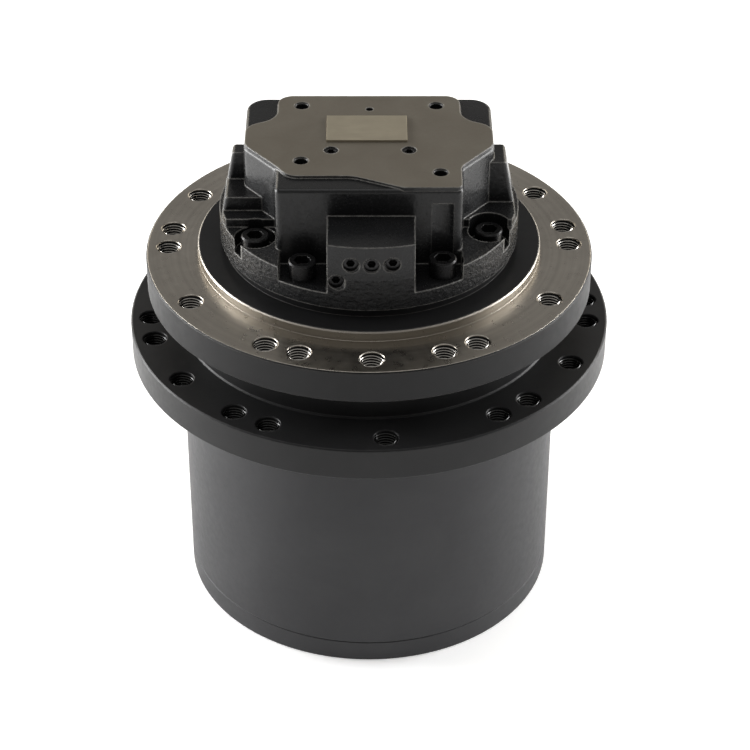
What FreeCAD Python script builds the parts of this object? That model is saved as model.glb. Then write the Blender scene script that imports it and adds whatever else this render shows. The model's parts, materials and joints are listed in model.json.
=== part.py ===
import FreeCAD, Part
import math
import os

# Track drive of a small crawler excavator: an axial piston motor in a spindle, and a housing that
# turns round the spindle through two planetary stages. Millimetres. Z is the axis of rotation,
# z = 0 is the outer face of the end cover, and -Y is the side that carries the nose.

# ---------------------------------------------------------------- clearances
SNUG = 0.01            # radial gap of pieces that are pressed or screwed together
RUN = 0.05             # radial gap of a journal in its bore, and of a film of oil
AIR = 0.5              # gap between faces that turn past each other

# ---------------------------------------------------------------- outside, along the axis
COVER_RIM_T = 16.0     # end cover, up to its joint with the housing
DRUM_L = 168.0         # housing below the sprocket flange
SPROCKET_T = 23.0      # sprocket flange
NECK_L = 25.0          # neck between the two flanges
RIM_GAP = 3.0          # gap under the frame flange
FRAME_T = 23.0         # frame flange
PILOT_H = 7.0          # pilot that centres the drive in the track frame
REGISTER_H = 6.0       # step that the motor cover stands on
DISC_T = 21.0          # round foot of the motor cover
BODY_H = 45.0          # cast body above the foot
PAD_H = 2.0            # machined pad on the body

# ---------------------------------------------------------------- outside, radii
DRUM_R = 129.0
NECK_R = DRUM_R - 1.0
SPROCKET_R = 163.0
FRAME_R = 150.0
PILOT_R = 115.0
REGISTER_R = 97.0
DISC_R = 99.5
EDGE = 1.0             # chamfer on machined rims
COVER_EDGE = 0.8       # chamfer round the foot of the end cover
JOINT_EDGE = 0.6       # chamfer where the end cover meets the housing
SIZE = DRUM_R / 129.0  # gears, bearings and motor keep their proportion to the drum

# ---------------------------------------------------------------- flange holes
BOLT_R = 8.0           # outside of an M16 thread
BOLT_MOUTH_R = 8.5     # countersink at each mouth
FRAME_BOLT_CIRCLE = FRAME_R - 15.0
FRAME_BOLT_PHASE = 0.8
FRAME_NINE_START = 20.0      # from the first hole of 12 to the first of 9
SPROCKET_BOLT_CIRCLE = SPROCKET_R - 14.0
SPROCKET_BOLT_PHASE = 4.2
SPROCKET_NINE_START = 0.0
RING_OF_12 = 12        # holes 30 degrees apart
RING_OF_9 = 9          # holes 40 degrees apart, of which three fall on the ring of 12

# ---------------------------------------------------------------- gears
MODULE = 3.0 * SIZE
PRESSURE_ANGLE = math.radians(25.0)
BACKLASH = 0.3         # total play between two flanks, along the pitch circle
TIP_RELIEF = 0.05      # shortens each tooth, in modules
ROOT_DEPTH = 1.25      # root below the pitch circle, in modules
RING_TEETH = 72
SUN_1_TEETH = 12
PLANET_1_TEETH = 30
SUN_2_TEETH = 24
PLANET_2_TEETH = 24
STAGE_1_PLANETS = 3
STAGE_2_PLANETS = 4

# ---------------------------------------------------------------- gear train, along the axis
COVER_PLATE_T = 10.0   # end cover inside its rim
SPIGOT_H = 6.0         # spigot of the end cover in the housing
RING_START = 24.0
RING_OVERRUN = 2.0     # ring gear runs past the second-stage planets
SPINDLE_SINK = 40.0    # foot of the spindle below the sprocket flange
CARRIER_1_START = 21.0
CARRIER_1_FOOT_T = 8.0
STAGE_1_SHARE = 26.0 / 69.0  # of the length that is left for the gears
CARRIER_1_HEAD_T = 12.0
STAGE_GAP = 2.0        # between the two carriers
CAGE_FOOT_T = 10.0     # lower plate of the fixed second-stage carrier
CAGE_HEAD_T = 20.0

# ---------------------------------------------------------------- gear train, radii
SPIGOT_R = 112.0 * SIZE
SPIGOT_WALL = 12.0 * SIZE
CARRIER_1_R = 92.0 * SIZE
STAGE_1_PIN_R = 12.0 * SIZE
STAGE_2_PIN_R = 14.0 * SIZE
BUSH_WALL = 3.0 * SIZE
CARRIER_1_POST_R = 9.0 * SIZE
CARRIER_1_POST_CIRCLE = 80.0 * SIZE
CAGE_R = 101.0 * SIZE
CAGE_POST_R = 12.5 * SIZE
CAGE_POST_CIRCLE = 88.0 * SIZE
PINION_SHAFT_R = 11.5 * SIZE
SUN_2_BORE_R = 14.5 * SIZE
CAGE_BORE_R = 22.0 * SIZE

# ---------------------------------------------------------------- main bearings and seal
JOURNAL_R = 84.0 * SIZE
MAIN_CUP_R = 104.0 * SIZE
MAIN_PITCH_R = 94.0 * SIZE
MAIN_BEARING_W = 20.0
MAIN_ROLLER_R = 5.0 * SIZE
MAIN_ROLLER_L = 14.0
MAIN_ROLLERS = 32
MAIN_CONE_ANGLE = 15.0
BEARING_SHOULDER_W = 14.0
BEARING_SHOULDER_R = 98.5 * SIZE
SEAL_BORE_R = 112.0 * SIZE
SEAL_LAND_R = 92.0 * SIZE
SEAL_DEPTH = 11.0      # seal groove in the frame flange
SEAL_RING_H = 14.0
SEAL_RING_BACK = 103.0 * SIZE
SEAL_RING_BORE = 96.0 * SIZE
SEAL_RING_LIP = 109.0 * SIZE
SEAL_TORIC_R = 4.4

# ---------------------------------------------------------------- motor
SPINDLE_FLOOR_T = 22.0
SWASH_BORE_R = 64.0 * SIZE
BRAKE_BORE_R = 69.0 * SIZE
MOTOR_BORE_R = 72.0 * SIZE
SWASH_GAP = 4.0
SWASH_T = 16.0
SWASH_R = 56.0 * SIZE
SWASH_BORE = 24.0 * SIZE
PIVOT_R = 8.0 * SIZE
PIVOT_X = 42.0 * SIZE
PISTONS = 9
PISTON_CIRCLE = 39.0 * SIZE
PISTON_R = 9.5 * SIZE
PISTON_L = 38.0
PISTON_BALL_R = 6.0 * SIZE
SHOE_FOOT_R = 10.5 * SIZE
SHOE_FOOT_T = 4.0
SHOE_CUP_R = 8.5 * SIZE
SHOE_H = 13.0
RETAINER_T = 3.0
RETAINER_R = 51.0 * SIZE
BLOCK_R = 54.0 * SIZE
BLOCK_L = 52.0
BLOCK_BORE_FLOOR = 9.0
SHAFT_R = 16.0 * SIZE
SHAFT_TAIL_R = 14.0 * SIZE
VALVE_PLATE_T = 6.0
VALVE_PLATE_R = 50.0 * SIZE
COVER_SPIGOT_H = 7.0
SHAFT_BEARING_W = 16.0
FRONT_CUP_R = 31.0 * SIZE
REAR_CUP_R = 28.0 * SIZE
SHAFT_ROLLER_R = 3.2 * SIZE
SHAFT_ROLLER_L = 11.0
SHAFT_ROLLERS = 16
SHAFT_CONE_ANGLE = 12.0
SHAFT_SEAL_T = 5.0
SHAFT_SEAL_R = 26.0 * SIZE

# ---------------------------------------------------------------- parking brake
BRAKE_SHELF = 46.0     # from the spindle floor to the shelf under the plates
PLATE_T = 2.0
PLATE_GAP = 0.15
FRICTION_DISCS = 4
PLATE_BORE_R = 58.0 * SIZE
DISC_OUTER_R = 66.0 * SIZE
BRAKE_SHELF_2 = 26.0   # from that shelf to the piston's shoulder
BRAKE_CHAMBER = 3.0
BRAKE_HEAD_T = 15.0
BRAKE_TRAVEL = 1.5
BRAKE_SPRINGS = 8
BRAKE_SPRING_CIRCLE = 65.0 * SIZE
BRAKE_SPRING_R = 3.6
BRAKE_SPRING_WIRE_R = 0.9
SPRING_POCKET_R = 5.2
SPRING_POCKET_DEPTH = 8.0

# ---------------------------------------------------------------- motor cover casting
BODY_HALF_X = 60.0     # narrow front of the body
BODY_FRONT = 61.0      # front and back faces of the body
WING_HALF_X = 82.0     # wide rear of the body
WING_START = 6.0       # where the flank reaches its full width, forward of the axis
WAIST = 34.0           # where the flank leaves the narrow front
WING_CORNER_R = 14.0
CAST_ROUND = 2.5
PAD_HALF_X = 61.0
PAD_BACK_STEP = 24.0   # the pad leaves the rear corners of the casting bare
PAD_LEDGE = 15.0       # and a ledge along part of the front
PAD_LEDGE_END = 10.0
NOSE_HALF = 28.0
NOSE_X = 1.3
NOSE_H = 26.0          # nose above the foot
EAR_TOP = 36.0         # ears above the foot
EAR_X = 90.0
EAR_FOOT_X = 96.0
EAR_FRONT = 10.0
EAR_BACK = 14.0
LEFT_EAR_FRONT = -3.0   # the left ear is thinner at its top
LEFT_STEP_FRONT = 21.0
LEFT_STEP_BACK = 8.0
LEFT_STEP_TOP = 16.0   # and has a step in front of it, a little further out
LEFT_STEP_OUT = 0.6
FOOT_STEP = 6.0        # plateau between the ear and the side screw
PLATEAU_FRONT = 32.0
PLATEAU_BACK = 20.0
POCKET_DEPTH = 10.0    # screw pockets below the top of the foot
POCKET_R = 13.5
COVER_SCREW_CIRCLE = DISC_R - 13.0
COVER_SCREW_ANGLES = (-59.0, -29.6, 33.1, 64.7, 147.0, 180.0, -147.0)
M12_R = 6.0
M12_HEAD_R = 9.0
M12_HEAD_H = 12.0
M12_HOLE_R = 6.6
M12_KEY = 10.0
COVER_SCREW_L = 30.0
PAD_HOLES = ((-45.0, 47.0), (45.0, 47.0), (-44.0, -26.5), (46.0, -41.5))
PAD_HOLE_R = 4.3
PAD_HOLE_DEPTH = 18.0
PAD_VENT = (0.4, 42.0)
PAD_VENT_R = 2.6
PAD_VENT_DEPTH = 7.0
PAD_PLUGS = ((-24.7, -13.0), (26.1, -13.0))
PLUG_R = 4.8
PLUG_L = 9.0
PLUG_KEY = 5.0
PLUG_SINK = 0.8
NOSE_PLUG_PITCH = 13.4
NOSE_PLUG_Z = 12.6     # above the foot
NOSE_PLUG_X = 1.7
NOSE_PLUG_SINK = 2.0
NOSE_PLUG_MOUTH = 0.7  # countersink
LOW_PLUG = (-21.0, -1.0)
PLATE_X = 53.0
PLATE_Y = 33.0
PLATE_CENTRE = (-1.4, 14.0)
NAMEPLATE_T = 1.5
SPOOL_Y = 2.0
SPOOL_Z = 7.5          # above the foot
SPOOL_R = 6.0
SPOOL_L = 112.0
SPOOL_STEM_L = 8.0
SPOOL_TRAVEL = 5.0
SPOOL_SPRING_R = 4.4
SPOOL_WIRE_R = 0.8
SPOOL_WAIST_R = 3.8
SPOOL_STEM_R = 2.2
SPOOL_GROOVES = ((-36.0, -24.0), (-8.0, 8.0), (24.0, 36.0))
CAP_R = 7.0
CAP_L = 18.0
CAP_KEY = 8.0
PORT_X = 30.0
DRAIN_X = 60.0
DRAIN_R = 7.0
PORT_R = 11.5
PORT_DRILL_R = 4.0
DRILL_POINT = 0.4      # length of the conical floor, in radii
PORTS = (              # radius, X, height above the foot, depth
    (PORT_R, -PORT_X, 14.0, 20.0), (PORT_R, PORT_X, 14.0, 21.0),
    (DRAIN_R, -DRAIN_X, 20.0, 14.0), (DRAIN_R, DRAIN_X, 20.0, 15.0), (5.0, 0.0, 33.0, 11.0))

# ---------------------------------------------------------------- end cover
M8_R = 4.0
M8_HEAD_R = 6.5
M8_HEAD_H = 8.0
M8_HOLE_R = 4.4
M8_KEY = 6.0
END_SCREWS = 12
END_SCREW_CIRCLE = DRUM_R - 8.5
END_SCREW_START = 180.0 / END_SCREWS
END_SCREW_L = 22.0
OIL_PLUG_CIRCLE = 78.0 * SIZE
OIL_PLUG_ANGLES = (0.0, 90.0, 180.0)
OIL_PLUG_R = 9.0
OIL_PLUG_HEAD_R = 13.0
OIL_PLUG_HEAD_T = 4.0
OIL_PLUG_KEY = 10.0
THRUST_PAD_R = 20.0 * SIZE
THRUST_PAD_H = 8.0
THRUST_PAD_EDGE = 2.0
ORING_R = 1.6
ORING_ROOM = 0.2
CAGE_SCREWS = 8
CAGE_SCREW_CIRCLE = 50.0 * SIZE
CAGE_SCREW_START = 180.0 / CAGE_SCREWS
CAGE_SCREW_L = 24.0

# ---------------------------------------------------------------- heights that follow
SPROCKET_Z = COVER_RIM_T + DRUM_L
SPROCKET_TOP = SPROCKET_Z + SPROCKET_T
NECK_TOP = SPROCKET_TOP + NECK_L
FRAME_Z = NECK_TOP + RIM_GAP
FRAME_TOP = FRAME_Z + FRAME_T
PILOT_TOP = FRAME_TOP + PILOT_H
DISC_Z = PILOT_TOP + REGISTER_H
DISC_TOP = DISC_Z + DISC_T
BODY_TOP = DISC_TOP + BODY_H
PAD_TOP = BODY_TOP + PAD_H
POCKET_Z = DISC_TOP - POCKET_DEPTH

SPINDLE_Z = SPROCKET_Z - SPINDLE_SINK
CARRIER_1_GEARS = CARRIER_1_START + CARRIER_1_FOOT_T
PLATES_T = CARRIER_1_HEAD_T + STAGE_GAP + CAGE_FOOT_T + CAGE_HEAD_T + 4 * AIR
GEAR_FACES = SPINDLE_Z - CARRIER_1_GEARS - PLATES_T
STAGE_1_FACE = GEAR_FACES * STAGE_1_SHARE
STAGE_2_FACE = GEAR_FACES - STAGE_1_FACE
CARRIER_1_HEAD = CARRIER_1_GEARS + STAGE_1_FACE + 2 * AIR
CARRIER_1_TOP = CARRIER_1_HEAD + CARRIER_1_HEAD_T
CAGE_Z = CARRIER_1_TOP + STAGE_GAP
CAGE_GEARS = CAGE_Z + CAGE_FOOT_T
CAGE_HEAD = CAGE_GEARS + STAGE_2_FACE + 2 * AIR
RING_END = CAGE_HEAD + RING_OVERRUN
SPINDLE_FLOOR = SPINDLE_Z + SPINDLE_FLOOR_T
LOWER_BEARING_Z = SPINDLE_Z
UPPER_BEARING_Z = LOWER_BEARING_Z + MAIN_BEARING_W + BEARING_SHOULDER_W
UPPER_BEARING_TOP = UPPER_BEARING_Z + MAIN_BEARING_W
SEAL_FACE = FRAME_Z + SEAL_DEPTH - SEAL_RING_H - 4.0

SWASH_Z = SPINDLE_FLOOR + SWASH_GAP
SWASH_TOP = SWASH_Z + SWASH_T
SHOE_Z = SWASH_TOP + RUN
PISTON_BALL_Z = SHOE_Z + SHOE_H - PISTON_BALL_R + 1.5
VALVE_PLATE_TOP = DISC_Z - COVER_SPIGOT_H
VALVE_PLATE_Z = VALVE_PLATE_TOP - VALVE_PLATE_T
BLOCK_TOP = VALVE_PLATE_Z - RUN
BLOCK_Z = BLOCK_TOP - BLOCK_L
BRAKE_Z = SPINDLE_FLOOR + BRAKE_SHELF
BRAKE_STACK = (2 * FRICTION_DISCS + 1) * (PLATE_T + PLATE_GAP)
BRAKE_SHOULDER = BRAKE_Z + BRAKE_SHELF_2
BRAKE_HEAD_Z = BRAKE_SHOULDER + BRAKE_CHAMBER
BRAKE_PISTON_TOP = BRAKE_HEAD_Z + BRAKE_HEAD_T
SPOOL_HEIGHT = DISC_TOP + SPOOL_Z
REAR_BEARING_TOP = DISC_Z + 8.0
SHAFT_TOP = REAR_BEARING_TOP + 3.0

STAGE_1_CENTRE = MODULE * (SUN_1_TEETH + PLANET_1_TEETH) / 2
STAGE_2_CENTRE = MODULE * (SUN_2_TEETH + PLANET_2_TEETH) / 2


# ---------------------------------------------------------------- helpers
def vec(x, y, z):
    return FreeCAD.Vector(x, y, z)


UP = vec(0, 0, 1)
ORIGIN = vec(0, 0, 0)


def polar(radius, degrees, z=0.0):
    """A point at an angle counted from -Y towards +X."""
    a = math.radians(degrees - 90.0)
    return vec(radius * math.cos(a), radius * math.sin(a), z)


def rod(radius, z0, z1, x=0.0, y=0.0):
    return Part.makeCylinder(radius, z1 - z0, vec(x, y, z0))


def ring(r_in, r_out, z0, z1):
    return rod(r_out, z0, z1).cut(rod(r_in, z0 - 1, z1 + 1))


def turned(profile):
    """A solid of revolution about Z from (radius, height) corners."""
    points = [vec(r, 0, z) for r, z in profile]
    face = Part.Face(Part.makePolygon(points + points[:1]))
    return face.revolve(ORIGIN, UP, 360)


def moved(shape, offset):
    copy = shape.copy()
    copy.translate(offset)
    return copy


def spun(shape, degrees):
    copy = shape.copy()
    copy.rotate(ORIGIN, UP, degrees)
    return copy


def around(shape, count, start=0.0):
    return [spun(shape, start + i * 360.0 / count) for i in range(count)]


def joined(shapes):
    """One solid from overlapping solids."""
    return shapes[0].fuse(shapes[1:]).removeSplitter()


def without(shape, tools):
    return shape.cut(Part.makeCompound(tools))


def rounded_face(corners, z):
    """A flat face whose outline has (x, y, radius) corners, counter-clockwise."""
    starts, ends, middles = [], [], []
    count = len(corners)
    for i, (x, y, radius) in enumerate(corners):
        here = vec(x, y, z)
        before = vec(corners[i - 1][0], corners[i - 1][1], z) - here
        after = vec(corners[(i + 1) % count][0], corners[(i + 1) % count][1], z) - here
        before.normalize()
        after.normalize()
        half = before.getAngle(after) / 2
        reach = radius / math.tan(half)
        bisector = before + after
        bisector.normalize()
        starts.append(here + before * reach)
        ends.append(here + after * reach)
        middles.append(here + bisector * (radius / math.sin(half) - radius))
    edges = []
    for i in range(count):
        if corners[i][2] > 0:
            edges.append(Part.Arc(starts[i], middles[i], ends[i]).toShape())
        edges.append(Part.makeLine(ends[i], starts[(i + 1) % count]))
    return Part.Face(Part.Wire(edges))


def slab(corners, z0, z1, top_round=0.0):
    """An upright prism on a rounded outline, with its upper rim rounded."""
    solid = rounded_face(corners, z0).extrude(vec(0, 0, z1 - z0))
    if top_round:
        rim = [e for e in solid.Edges if e.BoundBox.ZMin > z1 - 1e-6]
        solid = solid.makeFillet(top_round, rim)
    return solid


def hexagon(across_flats, depth, base, direction):
    """A hexagonal prism that starts at base and runs along direction."""
    radius = across_flats / math.sqrt(3)
    corners = [vec(radius * math.cos(math.radians(60 * i)), radius * math.sin(math.radians(60 * i)), 0)
               for i in range(7)]
    prism = Part.Face(Part.makePolygon(corners)).extrude(vec(0, 0, depth))
    prism.Placement = FreeCAD.Placement(base, FreeCAD.Rotation(UP, direction))
    return prism


def cap_screw(shank_r, length, head_r, head_h, key, seat, direction):
    """Socket head cap screw: seat is under its head, direction points out of the head."""
    head = Part.makeCylinder(head_r, head_h, seat, direction)
    rim = [e for e in head.Edges if e.Curve.TypeId == "Part::GeomCircle"]
    top = max(rim, key=lambda e: e.CenterOfMass.dot(direction))
    head = head.makeChamfer(0.8, [top])
    shank = Part.makeCylinder(shank_r, length, seat - direction * length, direction)
    socket = hexagon(key, head_h / 2, seat + direction * (head_h / 2), direction)
    return joined([head, shank]).cut(socket)


def socket_plug(radius, length, key, mouth, direction):
    """Screw plug with no head: mouth is the centre of its outer face."""
    body = Part.makeCylinder(radius, length, mouth - direction * length, direction)
    return body.cut(hexagon(key, length * 0.6, mouth - direction * (length * 0.6), direction))


def bolt_angles(phase, nine_start):
    """The two rings of holes that a flange shares between two makes of frame."""
    angles = [phase + i * 360.0 / RING_OF_12 for i in range(RING_OF_12)]
    for i in range(RING_OF_9):
        angle = phase + nine_start + i * 360.0 / RING_OF_9
        if min(abs((angle - a + 180) % 360 - 180) for a in angles) > 1.0:
            angles.append(angle)
    return angles


def flange_holes(circle, angles, z0, z1):
    """Through holes with a countersink at both mouths."""
    sink = BOLT_MOUTH_R - BOLT_R
    tools = []
    for angle in angles:
        tools.append(Part.makeCylinder(BOLT_R, z1 - z0 + 2, polar(circle, angle, z0 - 1)))
        tools.append(Part.makeCone(BOLT_R, BOLT_MOUTH_R, sink, polar(circle, angle, z1 - sink)))
        tools.append(Part.makeCone(BOLT_MOUTH_R, BOLT_R, sink, polar(circle, angle, z0)))
    return tools


# ---------------------------------------------------------------- gears
def involute(angle):
    return math.tan(angle) - angle


def tooth_half_angle(teeth, radius, thinning):
    """Half the angle that a tooth spans at a radius."""
    pitch = MODULE * teeth / 2
    base = pitch * math.cos(PRESSURE_ANGLE)
    there = math.acos(base / radius) if radius > base else 0.0
    at_pitch = math.pi / (2 * teeth) - thinning / (2 * pitch)
    return at_pitch + involute(PRESSURE_ANGLE) - involute(there)


def gear_blank(teeth, r_root, r_tip, thinning, z0, z1, first_tooth):
    """Spur gear without a bore. first_tooth is the angle of a tooth from +X, in degrees."""
    radii = (r_root, (r_root + r_tip) / 2, r_tip)
    halves = [tooth_half_angle(teeth, r, thinning) for r in radii]
    step = 2 * math.pi / teeth

    def point(radius, angle):
        return vec(radius * math.cos(angle), radius * math.sin(angle), z0)

    edges = []
    for i in range(teeth):
        middle = math.radians(first_tooth) + i * step
        rise = [point(r, middle - h) for r, h in zip(radii, halves)]
        fall = [point(r, middle + h) for r, h in zip(radii, halves)]
        following = point(r_root, middle + step - halves[0])
        edges.append(Part.Arc(*rise).toShape())
        edges.append(Part.makeLine(rise[2], fall[2]))
        edges.append(Part.Arc(fall[2], fall[1], fall[0]).toShape())
        edges.append(Part.makeLine(fall[0], following))
    return Part.Face(Part.Wire(edges)).extrude(vec(0, 0, z1 - z0))


def spur_gear(teeth, z0, z1, first_tooth):
    pitch = MODULE * teeth / 2
    tip = pitch + MODULE * (1 - TIP_RELIEF)
    return gear_blank(teeth, pitch - MODULE * ROOT_DEPTH, tip, BACKLASH / 2, z0, z1, first_tooth)


def ring_gear_cutter(z0, z1):
    """The spaces of the ring gear: an outer gear that is a little thicker than its mates."""
    pitch = MODULE * RING_TEETH / 2
    root = pitch - MODULE * (1 - TIP_RELIEF)
    return gear_blank(RING_TEETH, root, pitch + MODULE * ROOT_DEPTH, -BACKLASH / 2, z0, z1, 0.0)


def planet_places(circle, count):
    """Centres of the planets, counted from +X, where a space of the ring gear lies."""
    step = 2 * math.pi / count
    return [vec(circle * math.cos(i * step), circle * math.sin(i * step), 0) for i in range(count)]


# ---------------------------------------------------------------- bearings
def taper_bearing(z0, width, r_bore, r_cup, r_pitch, roller_r, roller_l, count, slope, opens_up):
    """Inner race, outer race and rollers of a tapered roller bearing."""
    tilt = math.radians(slope)
    reach = r_pitch / math.sin(tilt)
    half = math.atan(roller_r / reach)
    mid = z0 + width / 2
    sign = 1 if opens_up else -1
    apex = mid - sign * reach * math.cos(tilt)

    def cone_r(z, angle):
        return sign * (z - apex) * math.tan(angle)

    ends = (z0, z0 + width)
    inner = turned([(r_bore, ends[0]), (cone_r(ends[0], tilt - half), ends[0]),
                    (cone_r(ends[1], tilt - half), ends[1]), (r_bore, ends[1])])
    outer = turned([(cone_r(ends[0], tilt + half), ends[0]), (r_cup, ends[0]),
                    (r_cup, ends[1]), (cone_r(ends[1], tilt + half), ends[1])])
    along = vec(math.sin(tilt), 0, sign * math.cos(tilt))
    near = reach - roller_l / 2
    far = reach + roller_l / 2
    grow = math.tan(half)
    foot = vec(0, 0, apex) + along * near
    roller = Part.makeCone(near * grow - RUN, far * grow - RUN, roller_l, foot, along)
    return inner, outer, around(roller, count)


def main_bearing(z0, opens_up):
    return taper_bearing(z0, MAIN_BEARING_W, JOURNAL_R + SNUG, MAIN_CUP_R - SNUG, MAIN_PITCH_R,
                         MAIN_ROLLER_R, MAIN_ROLLER_L, MAIN_ROLLERS, MAIN_CONE_ANGLE, opens_up)


def shaft_bearing(z0, bore, cup, opens_up):
    return taper_bearing(z0, SHAFT_BEARING_W, bore + SNUG, cup - SNUG, (bore + cup) / 2,
                         SHAFT_ROLLER_R, SHAFT_ROLLER_L, SHAFT_ROLLERS, SHAFT_CONE_ANGLE, opens_up)


# ---------------------------------------------------------------- spindle and housing
def make_spindle():
    body = turned([
        (SHAFT_SEAL_R, SPINDLE_Z), (JOURNAL_R, SPINDLE_Z), (JOURNAL_R, UPPER_BEARING_TOP),
        (SEAL_LAND_R, UPPER_BEARING_TOP), (SEAL_LAND_R, FRAME_Z + SEAL_DEPTH),
        (SEAL_BORE_R, FRAME_Z + SEAL_DEPTH), (SEAL_BORE_R, FRAME_Z), (FRAME_R - EDGE, FRAME_Z),
        (FRAME_R, FRAME_Z + EDGE), (FRAME_R, FRAME_TOP - EDGE), (FRAME_R - EDGE, FRAME_TOP),
        (PILOT_R, FRAME_TOP), (PILOT_R, PILOT_TOP - EDGE), (PILOT_R - EDGE, PILOT_TOP),
        (REGISTER_R, PILOT_TOP), (REGISTER_R, DISC_Z), (MOTOR_BORE_R, DISC_Z),
        (MOTOR_BORE_R, BRAKE_SHOULDER), (BRAKE_BORE_R, BRAKE_SHOULDER), (BRAKE_BORE_R, BRAKE_Z),
        (SWASH_BORE_R, BRAKE_Z), (SWASH_BORE_R, SPINDLE_FLOOR), (FRONT_CUP_R, SPINDLE_FLOOR),
        (FRONT_CUP_R, SPINDLE_Z + SHAFT_SEAL_T), (SHAFT_SEAL_R, SPINDLE_Z + SHAFT_SEAL_T)])
    angles = bolt_angles(FRAME_BOLT_PHASE, FRAME_NINE_START)
    tools = flange_holes(FRAME_BOLT_CIRCLE, angles, FRAME_Z, FRAME_TOP)
    for angle in COVER_SCREW_ANGLES:
        foot = POCKET_Z - COVER_SCREW_L - 2
        tools.append(Part.makeCylinder(M12_R, DISC_Z - foot + 1, polar(COVER_SCREW_CIRCLE, angle, foot)))
    tools += around(rod(M12_R, SPINDLE_Z - 1, SPINDLE_FLOOR - 4, CAGE_SCREW_CIRCLE), CAGE_SCREWS, CAGE_SCREW_START)
    for x in (-PIVOT_X, PIVOT_X):
        tools.append(Part.makeSphere(PIVOT_R + SNUG, vec(x, 0, SPINDLE_FLOOR + SWASH_GAP / 2)))
    return without(body, tools)


def make_hub_housing():
    tip = MODULE * RING_TEETH / 2 - MODULE * (1 - TIP_RELIEF)
    bore = MAIN_CUP_R

    body = turned([
        (SPIGOT_R, COVER_RIM_T), (DRUM_R - JOINT_EDGE, COVER_RIM_T), (DRUM_R, COVER_RIM_T + JOINT_EDGE),
        (DRUM_R, SPROCKET_Z), (SPROCKET_R - EDGE, SPROCKET_Z), (SPROCKET_R, SPROCKET_Z + EDGE),
        (SPROCKET_R, SPROCKET_TOP - EDGE), (SPROCKET_R - EDGE, SPROCKET_TOP),
        (NECK_R + 1, SPROCKET_TOP), (NECK_R, SPROCKET_TOP + 1), (NECK_R, NECK_TOP - EDGE),
        (NECK_R - EDGE, NECK_TOP), (SEAL_BORE_R, NECK_TOP), (SEAL_BORE_R, UPPER_BEARING_TOP + 2),
        (bore, UPPER_BEARING_TOP + 2), (bore, UPPER_BEARING_Z), (BEARING_SHOULDER_R, UPPER_BEARING_Z),
        (BEARING_SHOULDER_R, LOWER_BEARING_Z + MAIN_BEARING_W), (bore, LOWER_BEARING_Z + MAIN_BEARING_W),
        (bore, RING_END + 4), (SPIGOT_R, RING_END + 4), (SPIGOT_R, RING_END), (tip, RING_END),
        (tip, RING_START), (SPIGOT_R, RING_START)])
    angles = bolt_angles(SPROCKET_BOLT_PHASE, SPROCKET_NINE_START)
    tools = flange_holes(SPROCKET_BOLT_CIRCLE, angles, SPROCKET_Z, SPROCKET_TOP)
    screw_top = M8_HEAD_H + END_SCREW_L + 2
    tools += around(rod(M8_R, COVER_RIM_T - 1, screw_top, END_SCREW_CIRCLE), END_SCREWS, END_SCREW_START)
    tools.append(ring_gear_cutter(RING_START - 1, RING_END + 1))
    return without(body, tools)


def make_end_cover():
    spigot_top = COVER_RIM_T + SPIGOT_H
    wall = SPIGOT_R - SPIGOT_WALL
    cover = turned([
        (0, 0), (DRUM_R - COVER_EDGE, 0), (DRUM_R, COVER_EDGE), (DRUM_R, COVER_RIM_T - JOINT_EDGE),
        (DRUM_R - JOINT_EDGE, COVER_RIM_T), (SPIGOT_R - SNUG, COVER_RIM_T),
        (SPIGOT_R - SNUG, spigot_top), (wall, spigot_top), (wall - 4, COVER_PLATE_T),
        (0, COVER_PLATE_T)])
    groove_z = COVER_RIM_T + SPIGOT_H / 2
    low = groove_z - ORING_R - ORING_ROOM
    high = groove_z + ORING_R + ORING_ROOM
    groove = ring(SPIGOT_R - 2 * ORING_R, SPIGOT_R + 1, low, high)
    through = rod(M8_HOLE_R, -1, COVER_RIM_T + 1, END_SCREW_CIRCLE)
    sink = rod(M8_HEAD_R + 0.5, -1, M8_HEAD_H, END_SCREW_CIRCLE)
    tools = [groove] + around(through, END_SCREWS, END_SCREW_START)
    tools += around(sink, END_SCREWS, END_SCREW_START)
    for angle in OIL_PLUG_ANGLES:
        place = polar(OIL_PLUG_CIRCLE, angle)
        tools.append(rod(OIL_PLUG_R, -1, COVER_PLATE_T + 1, place.x, place.y))
        tools.append(rod(OIL_PLUG_HEAD_R + 0.5, -1, OIL_PLUG_HEAD_T, place.x, place.y))
    return without(cover, tools)


def make_end_cover_screws():
    screw = cap_screw(M8_R - SNUG, END_SCREW_L, M8_HEAD_R, M8_HEAD_H - 0.5, M8_KEY,
                      vec(END_SCREW_CIRCLE, 0, M8_HEAD_H), vec(0, 0, -1))
    return Part.makeCompound(around(screw, END_SCREWS, END_SCREW_START))


def make_end_cover_oring():
    return Part.makeTorus(SPIGOT_R - ORING_R - SNUG, ORING_R - SNUG, vec(0, 0, COVER_RIM_T + SPIGOT_H / 2))


def make_oil_plugs():
    plugs = []
    for angle in OIL_PLUG_ANGLES:
        place = polar(OIL_PLUG_CIRCLE, angle)
        head = rod(OIL_PLUG_HEAD_R, 0.5, OIL_PLUG_HEAD_T, place.x, place.y)
        shank = rod(OIL_PLUG_R - SNUG, OIL_PLUG_HEAD_T - 1, COVER_PLATE_T + 1, place.x, place.y)
        key = hexagon(OIL_PLUG_KEY, 6, vec(place.x, place.y, 0), UP)
        plugs.append(joined([head, shank]).cut(key))
    return Part.makeCompound(plugs)


def make_thrust_pad():
    top = COVER_PLATE_T + THRUST_PAD_H
    return turned([(0, COVER_PLATE_T), (THRUST_PAD_R, COVER_PLATE_T),
                   (THRUST_PAD_R, top - THRUST_PAD_EDGE),
                   (THRUST_PAD_R - 2 * THRUST_PAD_EDGE, top), (0, top)])


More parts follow.
